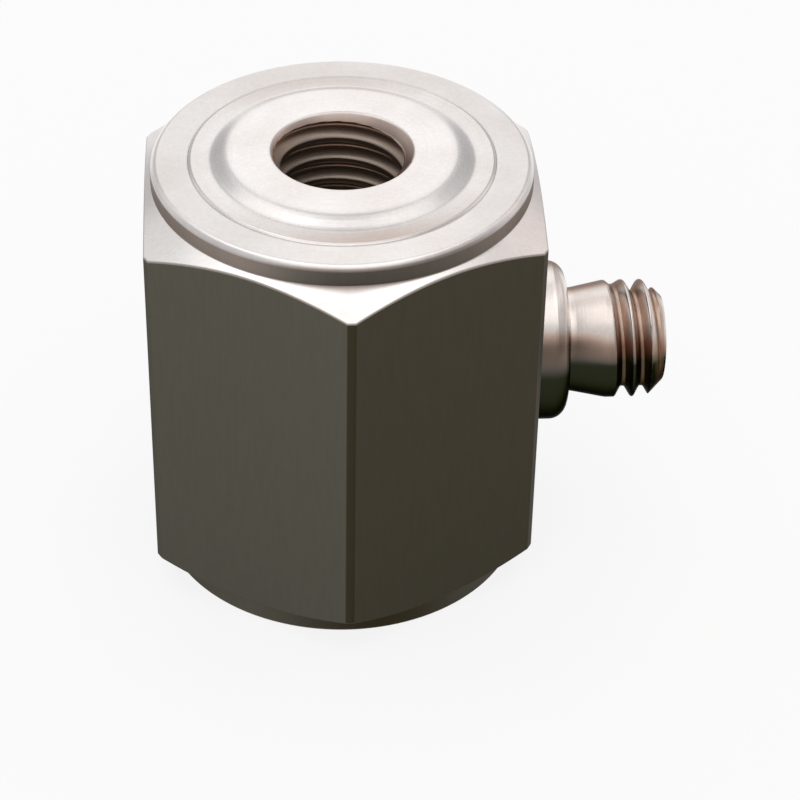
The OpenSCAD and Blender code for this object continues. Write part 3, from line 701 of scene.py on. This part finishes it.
capMesh = rowMesh("capRows", rows, rowDim=[capPaintedShade(row, cap) for row in rows])
loadCap = makePiece("threaded_load_cap", capMesh, lathedPiece, {
    "Rows": len(rows), "Columns": cap["columns"], "Axis Turn": (0, 0, 0), "Axis Place": (0, 0, 0),
    "Under Shade": 0.0, "Material": capSteel, "Crest Radius": cap["holeRadius"], **cap["thread"]})
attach(loadCap, "root")
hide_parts("load_cap")

# the jack: flange, rounded shoulder, neck, flare and threaded barrel, with lengths counted from the flat
jack = {
    "glassBore": 1.12, "spigotRadius": 2.25, "spigotLength": 2.25, "flangeRadius": 3.375,
    "flangeLength": 0.75, "shoulder": 0.7, "shoulderSteps": 8, "neckRadius": 2.2, "neckEnd": 1.7,
    "fadeStart": 2.0, "fadeLength": 0.4, "flareEnd": 3.15, "threadRadius": 2.5, "barrelEnd": 4.9,
    "bevelEnd": 5.5, "lipRadius": 1.9, "lipEdge": 0.1, "length": 5.6, "socketRadius": 1.55,
    "socketStart": 4.0, "insulatorBore": 1.32, "insulatorStart": -0.35, "rowStep": 0.028, "columns": 161,
    "thread": {"Thread Depth": 0.46, "Pitch": 0.8, "Phase": 0.0, "Groove Half Width": 0.4375,
               "Groove Side": -1.0, "First Turn": 4.2, "Last Turn": 30.0, "Run Out": 0.45}}


def jackRows(s):
    shoulder = []  # a quarter round from the flange to the neck's root
    for k in range(s["shoulderSteps"] + 1):
        turn = math.radians(90 * k / s["shoulderSteps"])
        shoulder.append((s["flangeRadius"] - s["shoulder"] + s["shoulder"] * math.cos(turn),
                         s["flangeLength"] + s["shoulder"] * math.sin(turn), 0, 1.0, False))
    return outlineRows(hidden([
        (s["glassBore"], -s["spigotLength"]), (s["spigotRadius"], -s["spigotLength"]),
        (s["spigotRadius"], 0.0)], 0.3) + [(s["flangeRadius"], 0.0, 0.02, 1.0, False)] + shoulder + [
        (s["neckRadius"], s["flangeLength"] + s["shoulder"], 0.12, 1.0, False),
        (s["neckRadius"], s["neckEnd"], 0.3, 0.92, False),
        (s["threadRadius"], s["flareEnd"], 0.12, 0.88, True),
        (s["threadRadius"], s["barrelEnd"], 0.05, 0.9, True),
        (s["lipRadius"], s["bevelEnd"], 0.04, 1.0, False),
        (s["lipRadius"] - s["lipEdge"], s["length"], 0.03, 1.0, False),
        (s["socketRadius"] + s["lipEdge"], s["length"], 0.02, 0.9, False),
        (s["socketRadius"], s["length"] - s["lipEdge"], 0.02, 0.4, False)] + hidden([
            (s["socketRadius"], s["socketStart"]), (s["insulatorBore"], s["socketStart"]),
            (s["insulatorBore"], s["insulatorStart"]), (s["glassBore"], s["insulatorStart"])], 0.3),
        closed=True, rowStep=s["rowStep"])


rows = jackRows(jack)
# painted shade: from fadeStart on, the flare and thread darken more slowly round the jack
fades = [shareOf(row[1], jack["fadeStart"], jack["fadeLength"]) for row in rows]
jackMesh = rowMesh("jackRows", rows, rowFade=fades)
jackShell = makePiece("threaded_jack", jackMesh, lathedPiece, {
    "Rows": len(rows), "Columns": jack["columns"], "Axis Turn": (0, math.pi / 2, 0),
    "Axis Place": (body["flatRadius"] * mm, 0.0, jackHeight * mm), "Under Shade": 1.0, "Material": jackSteel,
    "Crest Radius": jack["threadRadius"], **jack["thread"]})
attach(jackShell, "root")
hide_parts("jack_shell")
print("pieces made: body, load cap and jack")

# the floor: pale for the camera and for reflections, with the part's soft shadow on it
ground = {"reach": 4.0, "colour": (0.955, 0.955, 0.95, 1), "second": (0.935, 0.935, 0.93, 1),
          "patchScale": 40.0, "rough": 0.7, "glowShare": 0.85}
reach = ground["reach"]
floorMesh = bpy.data.meshes.new("floor")
floorMesh.from_pydata([(-reach, -reach, 0), (reach, -reach, 0), (reach, reach, 0), (-reach, reach, 0)], [],
                      [(0, 1, 2, 3)])
floor = bpy.data.objects.new("floor", floorMesh)
bpy.context.scene.collection.objects.link(floor)
paleFloor, tree, shader = newMaterial("paleFloor")
patches = noiseOf(tree, addNode(tree, "ShaderNodeTexCoord").outputs["Object"], ground["patchScale"])
put(tree, shader.inputs["Base Color"], mixColour(tree, patches, ground["colour"], ground["second"]))
shader.inputs["Roughness"].default_value = ground["rough"]
rays = addNode(tree, "ShaderNodeLightPath").outputs
seen = calc(tree, "MAXIMUM", rays["Is Glossy Ray"], rays["Is Transmission Ray"])
seen = calc(tree, "MAXIMUM", rays["Is Camera Ray"], seen)
glow = addNode(tree, "ShaderNodeEmission", {"Color": plain, "Strength": 1.0})
pale = addNode(tree, "ShaderNodeMixShader", {0: times(tree, seen, ground["glowShare"]), 1: shader.outputs[0],
                                             2: glow.outputs[0]})
put(tree, tree.nodes["Material Output"].inputs["Surface"], pale.outputs[0])
floorMesh.materials.append(paleFloor)

# the backdrop: what lights the part, what is seen, and how high the seen band reaches in reflections
backdrop = {"light": 0.5, "seen": 0.95, "bandTop": 0.10, "colour": (0.98, 0.985, 1.0, 1)}
world = bpy.data.worlds.new("studio")
bpy.context.scene.world = world
world.use_nodes = True
sky = world.node_tree
upward = splitOf(sky, addNode(sky, "ShaderNodeTexCoord").outputs["Generated"])[2]
rays = addNode(sky, "ShaderNodeLightPath").outputs
mirrored = calc(sky, "MAXIMUM", rays["Is Glossy Ray"], rays["Is Transmission Ray"])
band = remap(sky, upward, 0.0, backdrop["bandTop"], 1.0, 0.0)
share = calc(sky, "MAXIMUM", rays["Is Camera Ray"], times(sky, mirrored, band))
sky.nodes["Background"].inputs["Color"].default_value = backdrop["colour"]
put(sky, sky.nodes["Background"].inputs["Strength"],
    slide(sky, share, (0.0, 1.0), backdrop["light"], backdrop["seen"]))

# each lamp: direction from the part, distance and sizes in metres, brightness of its face, colour
lamps = {
    "backBox": {"towards": (0.03, 0.87, 0.49), "away": 0.42, "wide": 0.25, "tall": 0.40, "level": 0.58,
                "colour": (1.0, 0.985, 0.97)},
    "skyFront": {"towards": (-0.02, -0.17, 0.98), "away": 0.46, "wide": 0.49, "tall": 0.37, "level": 0.74,
                 "colour": (1.0, 0.99, 0.98)},
    "skyLeft": {"towards": (-0.41, 0.25, 0.88), "away": 0.46, "wide": 0.34, "tall": 0.24, "level": 0.66,
                "colour": (1.0, 0.99, 0.98)},
    "skyRight": {"towards": (0.38, 0.25, 0.89), "away": 0.46, "wide": 0.28, "tall": 0.19, "level": 0.55,
                 "colour": (1.0, 0.975, 0.95)},
    "sideLeft": {"towards": (-0.72, 0.50, 0.50), "away": 0.42, "wide": 0.16, "tall": 0.18, "level": 0.30,
                 "colour": (1.0, 0.98, 0.96)},
    "sideRight": {"towards": (0.74, 0.45, 0.52), "away": 0.42, "wide": 0.18, "tall": 0.20, "level": 0.44,
                  "colour": (1.0, 0.84, 0.78)},
    "frontBox": {"towards": (-0.1, -0.78, 0.62), "away": 0.50, "wide": 0.46, "tall": 0.22, "level": 0.6,
                 "colour": (1.0, 0.99, 0.97)}}
lampTarget = Vector((0, 0, 12.0 * mm))
for name, s in lamps.items():
    light = bpy.data.lights.new(name, "AREA")
    light.shape = "RECTANGLE"
    light.size, light.size_y = s["wide"], s["tall"]
    light.energy = s["level"] * math.pi * s["wide"] * s["tall"]
    light.color = s["colour"]
    lamp = bpy.data.objects.new(name, light)
    bpy.context.scene.collection.objects.link(lamp)
    direction = Vector(s["towards"]).normalized()
    lamp.location = lampTarget + direction * s["away"]
    lamp.rotation_euler = direction.to_track_quat("Z", "Y").to_euler()
    lamp.visible_camera = False

# the camera: place, turn in degrees, lens and sensor as fitted to the photo; clip is in metres
view = {"place": (-3.9353, -92.6696, 78.2765), "turned": (52.20704, -0.94713, -3.25947), "lens": 122.584,
        "sensor": 36.0, "clip": (0.005, 12.0)}
cameraData = bpy.data.cameras.new("camera")
cameraData.sensor_width = view["sensor"]
cameraData.lens = view["lens"]
cameraData.clip_start, cameraData.clip_end = view["clip"]
camera = bpy.data.objects.new("camera", cameraData)
bpy.context.scene.collection.objects.link(camera)
turned = Euler([math.radians(angle) for angle in view["turned"]])
camera.matrix_world = Matrix.LocRotScale(Vector(view["place"]) * mm, turned, None)
bpy.context.scene.camera = camera
bpy.context.scene.view_settings.view_transform = "Standard"
print("studio made:", len(lamps), "lamps")

print("scene ready")
